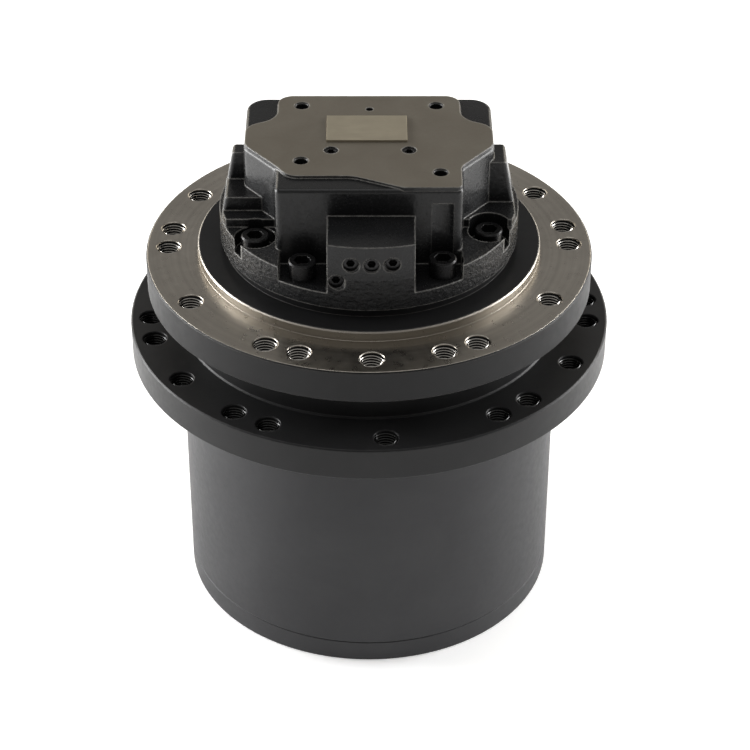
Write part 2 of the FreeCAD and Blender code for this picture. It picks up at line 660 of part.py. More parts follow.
# ---------------------------------------------------------------- floating face seal
def seal_ring(sign, face):
    """One half of the face seal, from its lapped face towards its back."""
    def at(depth):
        return face + sign * depth
    return turned([(SEAL_RING_BORE + 4, at(0)), (SEAL_RING_LIP, at(0)), (SEAL_RING_LIP, at(4)),
                   (SEAL_RING_BACK, at(6)), (SEAL_RING_BACK, at(SEAL_RING_H)),
                   (SEAL_RING_BORE, at(SEAL_RING_H)), (SEAL_RING_BORE, at(2))])


def seal_toric(sign, face):
    centre = SEAL_RING_BACK + SEAL_TORIC_R + SNUG
    return Part.makeTorus(centre, SEAL_TORIC_R, vec(0, 0, face + sign * (SEAL_RING_H - SEAL_TORIC_R)))


# ---------------------------------------------------------------- second stage
def make_output_carrier():
    """Cage that is screwed to the spindle and holds the second-stage planets still."""
    places = planet_places(STAGE_2_CENTRE, STAGE_2_PLANETS)
    half_step = 180.0 / STAGE_2_PLANETS
    foot = rod(CAGE_R, CAGE_Z, CAGE_GEARS)
    head = rod(CAGE_R, CAGE_HEAD, SPINDLE_Z)
    post = rod(CAGE_POST_R, CAGE_GEARS - 1, CAGE_HEAD + 1, CAGE_POST_CIRCLE)
    cage = joined([foot, head] + around(post, STAGE_2_PLANETS, half_step))
    tools = [rod(STAGE_2_PIN_R, CAGE_Z - 1, SPINDLE_Z - 4, p.x, p.y) for p in places]
    sun_tip = MODULE * (SUN_2_TEETH / 2 + 1)
    tools.append(rod(sun_tip + 2, CAGE_Z - 1, CAGE_GEARS + 1))
    tools.append(rod(CAGE_BORE_R, CAGE_HEAD - 1, SPINDLE_Z + 1))
    sink_top = CAGE_HEAD + M12_HEAD_H + 0.5
    start = CAGE_SCREW_START
    tools += around(rod(M12_HEAD_R + 0.5, CAGE_HEAD - 1, sink_top, CAGE_SCREW_CIRCLE), CAGE_SCREWS, start)
    tools += around(rod(M12_HOLE_R, CAGE_HEAD, SPINDLE_Z + 1, CAGE_SCREW_CIRCLE), CAGE_SCREWS, start)
    return without(cage, tools)


def make_output_carrier_screws():
    seat = vec(CAGE_SCREW_CIRCLE, 0, CAGE_HEAD + M12_HEAD_H + 0.5)
    screw = cap_screw(M12_R - SNUG, CAGE_SCREW_L, M12_HEAD_R, M12_HEAD_H, M12_KEY, seat, vec(0, 0, -1))
    return Part.makeCompound(around(screw, CAGE_SCREWS, CAGE_SCREW_START))


def make_stage2_pins():
    return Part.makeCompound([rod(STAGE_2_PIN_R - SNUG, CAGE_Z, SPINDLE_Z - 4, p.x, p.y)
                              for p in planet_places(STAGE_2_CENTRE, STAGE_2_PLANETS)])


def bushes(places, pin_r, z0, z1):
    sleeve = ring(pin_r, pin_r + BUSH_WALL, z0, z1)
    return Part.makeCompound([moved(sleeve, p) for p in places])


def make_planet(teeth, place, pin_r, z0, z1, first_tooth):
    gear = spur_gear(teeth, z0, z1, first_tooth)
    bore = rod(pin_r + BUSH_WALL + RUN, z0 - 1, z1 + 1)
    return moved(gear.cut(bore), place)


def make_sun_gear_2():
    """Its lower end is the spline that the first-stage carrier turns."""
    gear = spur_gear(SUN_2_TEETH, CARRIER_1_HEAD, CAGE_HEAD - 1, 180.0 / SUN_2_TEETH)
    return gear.cut(rod(SUN_2_BORE_R, CARRIER_1_HEAD - 1, CAGE_HEAD))


# ---------------------------------------------------------------- first stage
def make_stage1_carrier():
    places = planet_places(STAGE_1_CENTRE, STAGE_1_PLANETS)
    half_step = 180.0 / STAGE_1_PLANETS
    foot = rod(CARRIER_1_R, CARRIER_1_START, CARRIER_1_GEARS)
    head = rod(CARRIER_1_R, CARRIER_1_HEAD, CARRIER_1_TOP)
    post = rod(CARRIER_1_POST_R, CARRIER_1_GEARS - 1, CARRIER_1_HEAD + 1, CARRIER_1_POST_CIRCLE)
    cage = joined([foot, head] + around(post, STAGE_1_PLANETS, half_step))
    tools = [rod(STAGE_1_PIN_R, CARRIER_1_START - 1, CARRIER_1_TOP + 1, p.x, p.y) for p in places]
    tools.append(rod(THRUST_PAD_R + 5, CARRIER_1_START - 1, CARRIER_1_GEARS + 1))
    pitch = MODULE * SUN_2_TEETH / 2
    spline = gear_blank(SUN_2_TEETH, pitch - MODULE * ROOT_DEPTH + SNUG, pitch + MODULE + SNUG, 0.0,
                        CARRIER_1_HEAD - 1, CARRIER_1_TOP + 1, 180.0 / SUN_2_TEETH)
    tools.append(spline)
    return without(cage, tools)


def make_stage1_pins():
    return Part.makeCompound([rod(STAGE_1_PIN_R - SNUG, CARRIER_1_START, CARRIER_1_TOP - 1, p.x, p.y)
                              for p in planet_places(STAGE_1_CENTRE, STAGE_1_PLANETS)])


def make_sun_gear_1():
    """Long pinion: its shank is the drive that comes down from the motor shaft."""
    foot = COVER_PLATE_T + THRUST_PAD_H + AIR
    gear = spur_gear(SUN_1_TEETH, CARRIER_1_GEARS - 2, CARRIER_1_HEAD - AIR, 180.0 / SUN_1_TEETH)
    shank = rod(PINION_SHAFT_R, foot, SPINDLE_Z + SHAFT_SEAL_T + SHAFT_BEARING_W)
    return joined([gear, shank])


# ---------------------------------------------------------------- motor
def make_input_shaft():
    low = CAGE_HEAD + 2
    mouth = SPINDLE_Z + SHAFT_SEAL_T + SHAFT_BEARING_W + 2
    top = SHAFT_TOP
    shaft = turned([(PINION_SHAFT_R + SNUG, low), (SHAFT_R - 1, low), (SHAFT_R, low + 1),
                    (SHAFT_R, VALVE_PLATE_Z + 1), (SHAFT_TAIL_R, VALVE_PLATE_Z + 1),
                    (SHAFT_TAIL_R, top - 1), (SHAFT_TAIL_R - 1, top), (0, top), (0, mouth + 4),
                    (PINION_SHAFT_R + SNUG, mouth)])
    return shaft


def make_shaft_seal():
    lip = SHAFT_R + RUN
    return turned([(lip + 3, SPINDLE_Z), (SHAFT_SEAL_R - SNUG, SPINDLE_Z),
                   (SHAFT_SEAL_R - SNUG, SPINDLE_Z + SHAFT_SEAL_T), (lip, SPINDLE_Z + SHAFT_SEAL_T),
                   (lip, SPINDLE_Z + SHAFT_SEAL_T - 2)])


def make_swash_plate():
    plate = ring(SWASH_BORE, SWASH_R, SWASH_Z, SWASH_TOP)
    centre_z = SWASH_Z - SWASH_GAP / 2
    pockets = [Part.makeSphere(PIVOT_R + SNUG, vec(x, 0, centre_z)) for x in (-PIVOT_X, PIVOT_X)]
    return without(plate, pockets)


def make_swash_pivots():
    return Part.makeCompound([Part.makeSphere(PIVOT_R, vec(x, 0, SWASH_Z - SWASH_GAP / 2))
                              for x in (-PIVOT_X, PIVOT_X)])


def make_pistons():
    ball_z = PISTON_BALL_Z
    start = ball_z + PISTON_BALL_R + 2
    neck = PISTON_BALL_R * 0.62
    body = turned([(0, ball_z), (neck, ball_z), (neck, start), (PISTON_R, start + 2),
                   (PISTON_R, start + PISTON_L), (PISTON_R - 3.5, start + PISTON_L),
                   (PISTON_R - 3.5, start + 10), (0, start + 10)])
    piston = joined([body, Part.makeSphere(PISTON_BALL_R, vec(0, 0, ball_z))])
    return Part.makeCompound(around(moved(piston, vec(PISTON_CIRCLE, 0, 0)), PISTONS))


def make_piston_shoes():
    top = SHOE_Z + SHOE_H
    shoe = turned([(0, SHOE_Z), (SHOE_FOOT_R, SHOE_Z), (SHOE_FOOT_R, SHOE_Z + SHOE_FOOT_T),
                   (SHOE_CUP_R, SHOE_Z + SHOE_FOOT_T), (SHOE_CUP_R, top - 2),
                   (SHOE_CUP_R - 1.5, top), (0, top)])
    shoe = shoe.cut(Part.makeSphere(PISTON_BALL_R + SNUG, vec(0, 0, PISTON_BALL_Z)))
    return Part.makeCompound(around(moved(shoe, vec(PISTON_CIRCLE, 0, 0)), PISTONS))


def make_shoe_retainer():
    z0 = SHOE_Z + SHOE_FOOT_T + RUN
    plate = ring(SHAFT_R + 8, RETAINER_R, z0, z0 + RETAINER_T)
    holes = around(rod(SHOE_CUP_R + 0.2, z0 - 1, z0 + RETAINER_T + 1, PISTON_CIRCLE), PISTONS)
    return without(plate, holes)


def make_retainer_guide():
    z0 = SHOE_Z + SHOE_FOOT_T + RUN + RETAINER_T
    return turned([(SHAFT_R + SNUG, z0), (SHAFT_R + 10, z0), (SHAFT_R + 8, z0 + 6),
                   (SHAFT_R + SNUG, BLOCK_Z)])


def make_cylinder_block():
    block = ring(SHAFT_R + SNUG, BLOCK_R, BLOCK_Z, BLOCK_TOP)
    bore_top = BLOCK_TOP - BLOCK_BORE_FLOOR
    bore = rod(PISTON_R + RUN, BLOCK_Z - 1, bore_top, PISTON_CIRCLE)
    port = rod(4.5, bore_top - 1, BLOCK_TOP + 1, PISTON_CIRCLE - 3)
    return without(block, around(bore, PISTONS) + around(port, PISTONS))


def kidney(radius, half_width, start, end, z0, z1):
    """Curved slot between two angles."""
    sector = ring(radius - half_width, radius + half_width, z0, z1)
    reach = radius * 2
    corners = [ORIGIN, polar(reach, start), polar(reach * 1.6, (start + end) / 2), polar(reach, end), ORIGIN]
    wedge = Part.Face(Part.makePolygon([c + vec(0, 0, z0) for c in corners])).extrude(vec(0, 0, z1 - z0))
    ends = [Part.makeCylinder(half_width, z1 - z0, polar(radius, a, z0)) for a in (start, end)]
    return joined([sector.common(wedge)] + ends)


def make_valve_plate():
    plate = ring(REAR_CUP_R, VALVE_PLATE_R, VALVE_PLATE_Z, VALVE_PLATE_TOP)
    circle = PISTON_CIRCLE - 3
    slots = [kidney(circle, 4.0, s, s + 124, VALVE_PLATE_Z - 1, VALVE_PLATE_TOP + 1) for s in (28, 208)]
    return without(plate, slots)


# ---------------------------------------------------------------- parking brake
def brake_layer(index):
    return BRAKE_Z + index * (PLATE_T + PLATE_GAP)


def make_brake_steel_plates():
    layers = [brake_layer(2 * i) for i in range(FRICTION_DISCS + 1)]
    return Part.makeCompound([ring(PLATE_BORE_R, BRAKE_BORE_R - SNUG, z, z + PLATE_T) for z in layers])


def make_brake_friction_discs():
    layers = [brake_layer(2 * i + 1) for i in range(FRICTION_DISCS)]
    return Part.makeCompound([ring(BLOCK_R + SNUG, DISC_OUTER_R, z, z + PLATE_T) for z in layers])


def make_brake_piston():
    foot = BRAKE_Z + BRAKE_STACK
    piston = turned([
        (PLATE_BORE_R, foot), (BRAKE_BORE_R - RUN, foot), (BRAKE_BORE_R - RUN, BRAKE_HEAD_Z),
        (MOTOR_BORE_R - RUN, BRAKE_HEAD_Z), (MOTOR_BORE_R - RUN, BRAKE_PISTON_TOP),
        (PLATE_BORE_R, BRAKE_PISTON_TOP)])
    floor = BRAKE_PISTON_TOP - SPRING_POCKET_DEPTH
    pocket = rod(SPRING_POCKET_R, floor, BRAKE_PISTON_TOP + 1, BRAKE_SPRING_CIRCLE)
    return without(piston, around(pocket, BRAKE_SPRINGS))


def coil(radius, wire_r, z0, z1, turns):
    """Compression spring with its ends at z0 and z1."""
    height = z1 - z0 - 2 * wire_r
    path = Part.makeHelix(height / turns, height, radius)
    section = Part.Wire(Part.makeCircle(wire_r, vec(radius, 0, 0), vec(0, 1, 0)))
    spring = Part.Wire(path).makePipeShell([section], True, True)
    return moved(spring, vec(0, 0, z0 + wire_r))


def make_brake_springs():
    spring = coil(BRAKE_SPRING_R, BRAKE_SPRING_WIRE_R, BRAKE_PISTON_TOP - SPRING_POCKET_DEPTH,
                  VALVE_PLATE_TOP + SPRING_POCKET_DEPTH, 6)
    return Part.makeCompound(around(moved(spring, vec(BRAKE_SPRING_CIRCLE, 0, 0)), BRAKE_SPRINGS))


# ---------------------------------------------------------------- motor cover
def body_outline():
    return [(-BODY_HALF_X, -BODY_FRONT, 4), (BODY_HALF_X, -BODY_FRONT, 4), (BODY_HALF_X, -WAIST, 12),
            (WING_HALF_X, -WING_START, 10), (WING_HALF_X, BODY_FRONT, WING_CORNER_R),
            (-WING_HALF_X, BODY_FRONT, WING_CORNER_R), (-WING_HALF_X, -WING_START, 10),
            (-BODY_HALF_X, -WAIST, 12)]


def pad_outline():
    step = BODY_FRONT - PAD_BACK_STEP
    return [(PAD_LEDGE_END + 12, -BODY_FRONT + 0.5, 6), (PAD_HALF_X - 1.5, -BODY_FRONT + 0.5, 4),
            (PAD_HALF_X - 1.5, -WAIST, 12), (WING_HALF_X - 0.5, -WING_START, 14),
            (WING_HALF_X - 0.5, step - 18, 12), (PAD_HALF_X, step - 8, 16),
            (PAD_HALF_X, BODY_FRONT - 0.5, 10), (-PAD_HALF_X, BODY_FRONT - 0.5, 10),
            (-PAD_HALF_X, step - 8, 16), (-WING_HALF_X + 0.5, step - 18, 12),
            (-WING_HALF_X + 0.5, -WING_START, 14), (-PAD_HALF_X + 1.5, -WAIST, 12),
            (-PAD_HALF_X + 9, -BODY_FRONT + PAD_LEDGE, 12), (-PAD_LEDGE_END, -BODY_FRONT + PAD_LEDGE, 22)]


def make_ear(side, front, back, height, foot_x):
    """Boss at one end of the spool bore, wider at its foot. side is -1 or 1."""
    low = DISC_TOP + 4
    top = DISC_TOP + height
    slant = (EAR_FOOT_X - EAR_X) / (DISC_TOP + EAR_TOP - low)
    corners = [(BODY_HALF_X, low - 8), (foot_x, low - 8), (foot_x, low),
               (foot_x - slant * (top - low), top), (BODY_HALF_X, top)]
    points = [vec(side * x, -front, z) for x, z in corners[::side]]
    ear = Part.Face(Part.makePolygon(points + points[:1])).extrude(vec(0, front + back, 0))
    outer = [e for e in ear.Edges if abs(e.CenterOfMass.x) > EAR_X - 8 and e.CenterOfMass.z > low + 1]
    return ear.makeFillet(CAST_ROUND, outer)


def make_nose():
    half = NOSE_HALF
    block = Part.makeBox(2 * half, DISC_R, DISC_T + NOSE_H, vec(NOSE_X - half, -DISC_R, DISC_Z))
    return block.common(rod(DISC_R, DISC_Z, DISC_TOP + NOSE_H))


def web(side):
    """Slanted web that ties the nose to the front face of the body."""
    x0 = NOSE_X + side * NOSE_HALF
    z0 = DISC_TOP - 1
    points = [vec(x0 - side, -BODY_FRONT + 1, z0), vec(x0 + side * 9, -BODY_FRONT + 1, z0),
              vec(x0 - side, -BODY_FRONT - 9, z0)]
    return Part.Face(Part.makePolygon(points + points[:1])).extrude(vec(0, 0, NOSE_H))


def make_motor_cover():
    foot = rod(DISC_R, DISC_Z, DISC_TOP)
    spigot = rod(MOTOR_BORE_R - SNUG, VALVE_PLATE_TOP, DISC_Z + 1)
    body = slab(body_outline(), DISC_TOP - 1, BODY_TOP, CAST_ROUND)
    pad = slab(pad_outline(), BODY_TOP - 3, PAD_TOP)
    plateau = Part.makeBox(2 * EAR_FOOT_X, PLATEAU_FRONT + PLATEAU_BACK, FOOT_STEP + 1,
                           vec(-EAR_FOOT_X, -PLATEAU_FRONT, DISC_TOP - 1))
    plateau = plateau.common(rod(DISC_R - 0.5, DISC_TOP - 1, DISC_TOP + FOOT_STEP))
    right = make_ear(1, EAR_FRONT, EAR_BACK, EAR_TOP, EAR_FOOT_X)
    left = make_ear(-1, LEFT_EAR_FRONT, EAR_BACK, EAR_TOP, EAR_FOOT_X)
    step_x = EAR_FOOT_X + LEFT_STEP_OUT
    step = make_ear(-1, LEFT_STEP_FRONT, LEFT_STEP_BACK, LEFT_STEP_TOP, step_x)
    cast = joined([foot, spigot, body, pad, plateau, right, left, step, make_nose(), web(-1), web(1)])
    return without(cast, cover_pockets() + cover_bores() + cover_ports())


def cover_pockets():
    """Screw pockets, with the clearance holes for the screws."""
    tools = []
    high = BODY_H
    for angle in COVER_SCREW_ANGLES:
        seat = polar(COVER_SCREW_CIRCLE, angle, POCKET_Z)
        tools.append(Part.makeCylinder(M12_HOLE_R, DISC_T + 2, seat - vec(0, 0, DISC_T)))
        tools.append(Part.makeCylinder(POCKET_R, high, seat))
    inner = NOSE_HALF
    front = DISC_R + 1 - BODY_FRONT
    right = BODY_HALF_X - inner - NOSE_X
    left = BODY_HALF_X - inner + NOSE_X - 2
    tools.append(Part.makeBox(right, front, high, vec(NOSE_X + inner, -DISC_R - 1, POCKET_Z)))
    tools.append(Part.makeBox(left, front, high, vec(NOSE_X - inner - left, -DISC_R - 1, POCKET_Z)))
    return tools


def cover_bores():
    """Spool bore, bearing seat, spring pockets and the tapped holes of the pad."""
    spool_x = EAR_FOOT_X + 1
    along = vec(1, 0, 0)
    tools = [Part.makeCylinder(SPOOL_R + RUN, 2 * spool_x, vec(-spool_x, SPOOL_Y, SPOOL_HEIGHT), along)]
    for side in (-1, 1):
        mouth = vec(side * spool_x, SPOOL_Y, SPOOL_HEIGHT)
        tools.append(Part.makeCylinder(CAP_R, spool_x - cap_inner(), mouth, along * -side))
    tools.append(rod(REAR_CUP_R, VALVE_PLATE_TOP - 1, REAR_BEARING_TOP))
    tools.append(rod(SHAFT_TAIL_R + 1, REAR_BEARING_TOP - 1, SHAFT_TOP + 1))
    pocket_top = VALVE_PLATE_TOP + SPRING_POCKET_DEPTH
    pocket = rod(SPRING_POCKET_R, VALVE_PLATE_TOP - 1, pocket_top, BRAKE_SPRING_CIRCLE)
    tools += around(pocket, BRAKE_SPRINGS)
    for x, y in PAD_HOLES:
        tools.append(rod(PAD_HOLE_R, PAD_TOP - PAD_HOLE_DEPTH, PAD_TOP + 1, x, y))
        tools.append(Part.makeCone(PAD_HOLE_R, PAD_HOLE_R + 1, 1, vec(x, y, PAD_TOP - 1)))
    tools.append(rod(PAD_VENT_R, PAD_TOP - PAD_VENT_DEPTH, PAD_TOP + 1, *PAD_VENT))
    for x, y in PAD_PLUGS:
        tools.append(rod(PLUG_R, PAD_TOP - PLUG_SINK - PLUG_L, PAD_TOP + 1, x, y))
    return tools


def nose_plug_mouths():
    """X and Z of each plug bore in the nose."""
    z = DISC_TOP + NOSE_PLUG_Z
    row = [(NOSE_PLUG_X + i * NOSE_PLUG_PITCH, z) for i in (-1, 0, 1)]
    return row + [(LOW_PLUG[0], DISC_TOP + LOW_PLUG[1])]


def nose_face(x):
    """Distance of the nose's round face from the XZ plane."""
    return math.sqrt(DISC_R ** 2 - x ** 2)


def cover_ports():
    """Plugged drillings in the nose, and the hose ports in the rear face."""
    tools = []
    inward = vec(0, 1, 0)
    for x, z in nose_plug_mouths():
        outside = vec(x, -DISC_R - 1, z)
        floor = PLUG_L + NOSE_PLUG_SINK + DISC_R - nose_face(abs(x) + PLUG_R) + 1
        tools.append(Part.makeCylinder(PLUG_R, floor, outside, inward))
        sink_r = PLUG_R + NOSE_PLUG_MOUTH + 1
        mouth = vec(x, -nose_face(x) - 1, z)
        tools.append(Part.makeCone(sink_r, PLUG_R, NOSE_PLUG_MOUTH + 1, mouth, inward))
    for radius, x, up, depth in PORTS:
        mouth = vec(x, BODY_FRONT + 1, DISC_TOP + up)
        tools.append(Part.makeCylinder(radius, depth + 1, mouth, -inward))
        tools.append(Part.makeCone(radius, 0, radius * DRILL_POINT, mouth - inward * (depth + 1), -inward))
    for _, x, _, depth in PORTS[:2]:
        end = vec(x, SPOOL_Y, SPOOL_HEIGHT)
        tools.append(Part.makeCylinder(PORT_DRILL_R, BODY_FRONT - SPOOL_Y - depth + 1, end, inward))
    return tools


def make_cover_screws():
    return Part.makeCompound([
        cap_screw(M12_R - SNUG, COVER_SCREW_L, M12_HEAD_R, M12_HEAD_H, M12_KEY,
                  polar(COVER_SCREW_CIRCLE, angle, POCKET_Z), UP) for angle in COVER_SCREW_ANGLES])


def make_gallery_plugs():
    mouth_z = PAD_TOP - PLUG_SINK
    plugs = [socket_plug(PLUG_R - SNUG, PLUG_L, PLUG_KEY, vec(x, y, mouth_z), UP) for x, y in PAD_PLUGS]
    for x, z in nose_plug_mouths():
        mouth = vec(x, NOSE_PLUG_SINK - nose_face(abs(x) + PLUG_R), z)
        plugs.append(socket_plug(PLUG_R - SNUG, PLUG_L - 1, PLUG_KEY, mouth, vec(0, -1, 0)))
    return Part.makeCompound(plugs)


def make_nameplate():
    x, y = PLATE_CENTRE
    plate = Part.makeBox(PLATE_X, PLATE_Y, NAMEPLATE_T, vec(x - PLATE_X / 2, y - PLATE_Y / 2, PAD_TOP))
    return plate


def make_counterbalance_spool():
    half = SPOOL_L / 2
    land = half - SPOOL_STEM_L
    stem, waist = SPOOL_STEM_R, SPOOL_WAIST_R
    profile = [(0, -half), (stem, -half), (stem, -land), (SPOOL_R, -land)]
    for start, end in SPOOL_GROOVES:
        profile += [(SPOOL_R, start), (waist, start), (waist, end), (SPOOL_R, end)]
    profile += [(SPOOL_R, land), (stem, land), (stem, half), (0, half)]
    spool = turned(profile)
    spool.rotate(ORIGIN, vec(0, 1, 0), 90)
    return moved(spool, vec(0, SPOOL_Y, SPOOL_HEIGHT))


def cap_inner():
    """Distance from the YZ plane to the inner end of a spool cap."""
    return EAR_X - CAP_L


def make_spool_caps():
    return Part.makeCompound([
        socket_plug(CAP_R - SNUG, CAP_L, CAP_KEY, vec(side * EAR_X, SPOOL_Y, SPOOL_HEIGHT), vec(side, 0, 0))
        for side in (-1, 1)])


def make_spool_springs():
    springs = []
    shoulder = SPOOL_L / 2 - SPOOL_STEM_L
    length = cap_inner() - shoulder - SPOOL_TRAVEL - AIR
    for side in (-1, 1):
        spring = coil(SPOOL_SPRING_R, SPOOL_WIRE_R, 0, length, 5)
        spring.rotate(ORIGIN, vec(0, 1, 0), -90 * side)
        springs.append(moved(spring, vec(side * cap_inner(), SPOOL_Y, SPOOL_HEIGHT)))
    return Part.makeCompound(springs)


# ---------------------------------------------------------------- every node
def build():
    lower_inner, lower_outer, lower_rollers = main_bearing(LOWER_BEARING_Z, True)
    upper_inner, upper_outer, upper_rollers = main_bearing(UPPER_BEARING_Z, False)
    front_z = SPINDLE_Z + SHAFT_SEAL_T
    front_inner, front_outer, front_rollers = shaft_bearing(front_z, SHAFT_R, FRONT_CUP_R, False)
    rear_z = REAR_BEARING_TOP - SHAFT_BEARING_W
    rear_inner, rear_outer, rear_rollers = shaft_bearing(rear_z, SHAFT_TAIL_R, REAR_CUP_R, True)
    stage_1 = planet_places(STAGE_1_CENTRE, STAGE_1_PLANETS)
    stage_2 = planet_places(STAGE_2_CENTRE, STAGE_2_PLANETS)
    gears_1 = (CARRIER_1_GEARS + AIR, CARRIER_1_HEAD - AIR)
    gears_2 = (CAGE_GEARS + AIR, CAGE_HEAD - AIR)
    parts = {
        "spindle": make_spindle(),
        "hub_housing": make_hub_housing(),
        "end_cover": make_end_cover(),
        "end_cover_screws": make_end_cover_screws(),
        "end_cover_oring": make_end_cover_oring(),
        "oil_plugs": make_oil_plugs(),
        "thrust_pad": make_thrust_pad(),
        "lower_inner_race": lower_inner,
        "lower_outer_race": lower_outer,
        "upper_inner_race": upper_inner,
        "upper_outer_race": upper_outer,
        "main_bearing_rollers": Part.makeCompound(lower_rollers + upper_rollers),
        "lower_seal_ring": seal_ring(-1, SEAL_FACE - RUN / 2),
        "upper_seal_ring": seal_ring(1, SEAL_FACE + RUN / 2),
        "lower_seal_oring": seal_toric(-1, SEAL_FACE),
        "upper_seal_oring": seal_toric(1, SEAL_FACE),
        "output_carrier": make_output_carrier(),
        "output_carrier_screws": make_output_carrier_screws(),
        "stage2_pins": make_stage2_pins(),
        "stage2_bushes": bushes(stage_2, STAGE_2_PIN_R, gears_2[0], gears_2[1]),
        "sun_gear_2": make_sun_gear_2(),
        "stage1_carrier": make_stage1_carrier(),
        "stage1_pins": make_stage1_pins(),
        "stage1_bushes": bushes(stage_1, STAGE_1_PIN_R, gears_1[0], gears_1[1]),
        "sun_gear_1": make_sun_gear_1(),
        "input_shaft": make_input_shaft(),
        "shaft_seal": make_shaft_seal(),
        "front_bearing_inner": front_inner,
        "front_bearing_outer": front_outer,
        "rear_bearing_inner": rear_inner,
        "rear_bearing_outer": rear_outer,
        "shaft_bearing_rollers": Part.makeCompound(front_rollers + rear_rollers),
        "swash_plate": make_swash_plate(),
        "swash_pivots": make_swash_pivots(),
        "pistons": make_pistons(),
        "piston_shoes": make_piston_shoes(),
        "shoe_retainer": make_shoe_retainer(),
        "retainer_guide": make_retainer_guide(),
        "cylinder_block": make_cylinder_block(),
        "valve_plate": make_valve_plate(),
        "brake_steel_plates": make_brake_steel_plates(),
        "brake_friction_discs": make_brake_friction_discs(),
        "brake_piston": make_brake_piston(),
        "brake_springs": make_brake_springs(),
        "motor_cover": make_motor_cover(),
        "cover_screws": make_cover_screws(),
        "gallery_plugs": make_gallery_plugs(),
        "nameplate": make_nameplate(),
        "counterbalance_spool": make_counterbalance_spool(),
        "spool_caps": make_spool_caps(),
        "spool_springs": make_spool_springs(),
    }
    for letter, place in zip("abc", stage_1):
        parts["stage1_planet_" + letter] = make_planet(PLANET_1_TEETH, place, STAGE_1_PIN_R, *gears_1, 0.0)
    for letter, place in zip("abcd", stage_2):
        parts["stage2_planet_" + letter] = make_planet(PLANET_2_TEETH, place, STAGE_2_PIN_R, *gears_2, 0.0)
    return parts


os.makedirs("parts", exist_ok=True)
for node, shape in build().items():
    shape.exportStep(os.path.join("parts", node + ".step"))
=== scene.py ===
import bpy
import json
import math
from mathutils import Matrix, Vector


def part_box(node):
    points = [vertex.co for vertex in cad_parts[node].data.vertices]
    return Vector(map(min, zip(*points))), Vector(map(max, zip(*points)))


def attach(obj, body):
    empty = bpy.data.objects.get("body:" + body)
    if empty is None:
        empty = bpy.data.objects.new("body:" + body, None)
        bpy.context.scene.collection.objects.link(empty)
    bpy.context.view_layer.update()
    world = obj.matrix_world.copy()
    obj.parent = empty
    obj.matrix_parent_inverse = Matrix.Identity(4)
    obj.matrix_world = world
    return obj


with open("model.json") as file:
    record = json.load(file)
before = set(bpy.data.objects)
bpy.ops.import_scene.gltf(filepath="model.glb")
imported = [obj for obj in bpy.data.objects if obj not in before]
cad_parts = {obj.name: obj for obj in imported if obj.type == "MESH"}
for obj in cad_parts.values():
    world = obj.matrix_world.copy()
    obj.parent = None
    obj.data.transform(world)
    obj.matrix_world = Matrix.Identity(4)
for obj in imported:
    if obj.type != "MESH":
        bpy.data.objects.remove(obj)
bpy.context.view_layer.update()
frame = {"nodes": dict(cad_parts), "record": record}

# Track drive, dressed on its CAD frame. Metres. Z is the axis of rotation and -Y the nose side.
MM = 0.001

# ---------------------------------------------------------------- places taken from the frame
MOUNTS = {m["name"]: m for m in frame["record"]["mounts"]}
FRAME_TOP = MOUNTS["frame_face"]["pos_m"][2]
SPROCKET_Z = MOUNTS["sprocket_face"]["pos_m"][2]
BOLT_R = MOUNTS["frame_bolt_1"]["dims"]["r_mm"] * MM
PILOT_TOP = FRAME_TOP + 7 * MM
PAD_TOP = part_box("motor_cover")[1].z
REGISTER_H = 6 * MM
FOOT_TOP = PILOT_TOP + REGISTER_H + 21 * MM
FLANGE_T = 23 * MM
FLANGE_R = 150 * MM
FOOT_R = 99.5 * MM
FRAME_BOLT_CIRCLE = 135 * MM
FRAME_BOLT_PHASE = 0.8
SPROCKET_BOLT_CIRCLE = 149 * MM
SPROCKET_BOLT_PHASE = 4.2
THREAD_PITCH = 2 * MM
THREAD_START = 1.5 * MM
THREAD_L = 20 * MM
SMOOTH_ANGLE = math.radians(25)
BEVEL_SAMPLES = 6
RING_OF_12 = [30.0 * i for i in range(12)]
FRAME_RINGS = RING_OF_12 + [20.0 + 40.0 * i for i in range(9) if i % 3 != 1]
SPROCKET_RINGS = RING_OF_12 + [40.0 * i for i in range(9) if i % 3]


def around(circle, degrees, z):
    """A point on a circle about the axis, its angle counted from -Y towards +X."""
    a = math.radians(degrees - 90)
    return (circle * math.cos(a), circle * math.sin(a), z)


# ---------------------------------------------------------------- modelling helpers
def start():
    if bpy.context.mode != "OBJECT":
        bpy.ops.object.mode_set(mode="OBJECT")
    bpy.ops.object.select_all(action="DESELECT")


def select_vertices(piece, test):
    """In edit mode, select the vertices of piece that pass the test."""
    bpy.ops.object.mode_set(mode="EDIT")
    bpy.ops.mesh.select_mode(type="VERT")
    bpy.ops.mesh.select_all(action="DESELECT")
    bpy.ops.object.mode_set(mode="OBJECT")
    for vertex in piece.data.vertices:
        vertex.select = test(vertex)
    bpy.ops.object.mode_set(mode="EDIT")


def finish_modifier(piece, kind, **settings):
    """Add a modifier with the settings and apply it."""
    modifier = piece.modifiers.new(kind.lower(), kind)
    for name, value in settings.items():
        setattr(modifier, name, value)
    bpy.context.view_layer.objects.active = piece
    bpy.ops.object.modifier_apply(modifier=modifier.name)


def copies(piece, places):
    """Copies of piece with their own meshes at the places, joined into one piece."""
    start()
    twins = []
    for place in places:
        twin = piece.copy()
        twin.data = piece.data.copy()
        bpy.context.scene.collection.objects.link(twin)
        twin.location = place
        twins.append(twin)
    bpy.data.objects.remove(piece)
    for twin in twins:
        twin.select_set(True)
    bpy.context.view_layer.objects.active = twins[0]
    bpy.ops.object.join()
    return bpy.context.view_layer.objects.active


